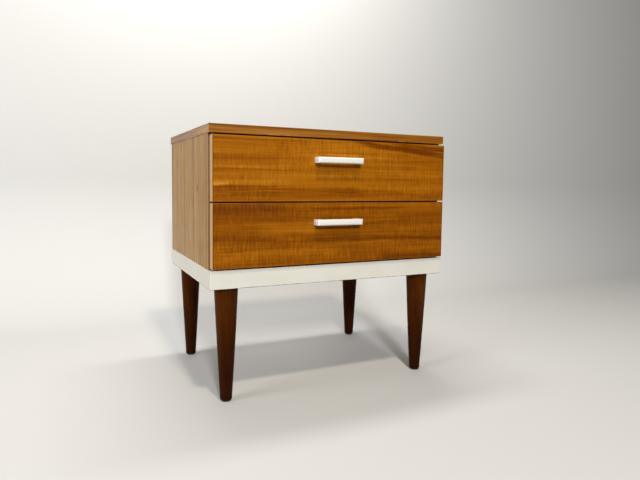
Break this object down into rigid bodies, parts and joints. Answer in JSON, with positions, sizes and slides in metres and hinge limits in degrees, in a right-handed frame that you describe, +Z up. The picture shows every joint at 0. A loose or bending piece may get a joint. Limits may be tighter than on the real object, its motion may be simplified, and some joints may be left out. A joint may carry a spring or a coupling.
{
  "type": "bedside chest",
  "caption": "Low bedside chest with overlay drawers on finger-jointed boxes, bar handles, a white mitred base frame and turned tapered legs.",
  "frame": {"origin": "on the floor, below the centre of the object's bounding box", "axes": "+X to the right as seen from the front, +Y from the drawer fronts to the back, +Z up"},
  "size_m": [0.543, 0.4058, 0.5455],
  "materials": {
    "top_veneer": "satin lacquered walnut veneer",
    "front_veneer": "satin lacquered veneer with the grain running across",
    "side_veneer": "satin lacquered veneer with upright grain",
    "edge_veneer": "satin lacquered edging",
    "end_edging": "satin lacquered pale edging",
    "white_lacquer": "off-white brushed lacquer",
    "leg_wood": "dark stained and lacquered",
    "drawer_box_wood": "bare beech",
    "beech": "bare planed beech",
    "hardboard": "smooth hardboard",
    "handle_plastic": "glossy white moulding",
    "glide_plastic": "matte dark brown",
    "fixing_steel": "zinc plated"
  },
  "bodies": {
    "carcass": {"back_left_corner_block": "beech", "back_left_glide": "glide_plastic", "back_left_leg": "leg_wood", "back_panel": "hardboard", "back_panel_nails": "fixing_steel", "back_right_corner_block": "beech", "back_right_glide": "glide_plastic", "back_right_leg": "leg_wood", "bottom_board": "side_veneer", "bottom_dowels": "beech", "front_left_corner_block": "beech", "front_left_glide": "glide_plastic", "front_left_leg": "leg_wood", "front_right_corner_block": "beech", "front_right_glide": "glide_plastic", "front_right_leg": "leg_wood", "left_side_front_edging": "edge_veneer", "left_side_panel": "side_veneer", "leg_bolts": "fixing_steel", "leg_insert_nuts": "fixing_steel", "lower_left_runner": "beech", "lower_right_runner": "beech", "plinth_back_rail": "white_lacquer", "plinth_front_rail": "white_lacquer", "plinth_left_rail": "white_lacquer", "plinth_right_rail": "white_lacquer", "plinth_screws": "fixing_steel", "right_side_front_edging": "edge_veneer", "right_side_panel": "side_veneer", "runner_screws": "fixing_steel", "top_board": "top_veneer", "top_dowels": "beech", "top_front_edging": "top_veneer", "top_left_edging": "top_veneer", "top_right_edging": "top_veneer", "upper_left_runner": "beech", "upper_right_runner": "beech"},
    "upper_drawer": {"upper_drawer_back": "drawer_box_wood", "upper_drawer_bottom": "hardboard", "upper_drawer_front": "front_veneer", "upper_drawer_front_left_edging": "end_edging", "upper_drawer_front_right_edging": "end_edging", "upper_drawer_front_screws": "fixing_steel", "upper_drawer_handle": "handle_plastic", "upper_drawer_handle_screws": "fixing_steel", "upper_drawer_inner_front": "drawer_box_wood", "upper_drawer_left_side": "drawer_box_wood", "upper_drawer_right_side": "drawer_box_wood"},
    "lower_drawer": {"lower_drawer_back": "drawer_box_wood", "lower_drawer_bottom": "hardboard", "lower_drawer_front": "front_veneer", "lower_drawer_front_left_edging": "end_edging", "lower_drawer_front_right_edging": "end_edging", "lower_drawer_front_screws": "fixing_steel", "lower_drawer_handle": "handle_plastic", "lower_drawer_handle_screws": "fixing_steel", "lower_drawer_inner_front": "drawer_box_wood", "lower_drawer_left_side": "drawer_box_wood", "lower_drawer_right_side": "drawer_box_wood"}
  },
  "joints": [
    {"name": "upper_drawer_slide", "type": "slide", "parent": "carcass", "child": "upper_drawer", "axis": [0, -1, 0], "range_m": [0, 0.25]},
    {"name": "lower_drawer_slide", "type": "slide", "parent": "carcass", "child": "lower_drawer", "axis": [0, -1, 0], "range_m": [0, 0.25]}
  ]
}
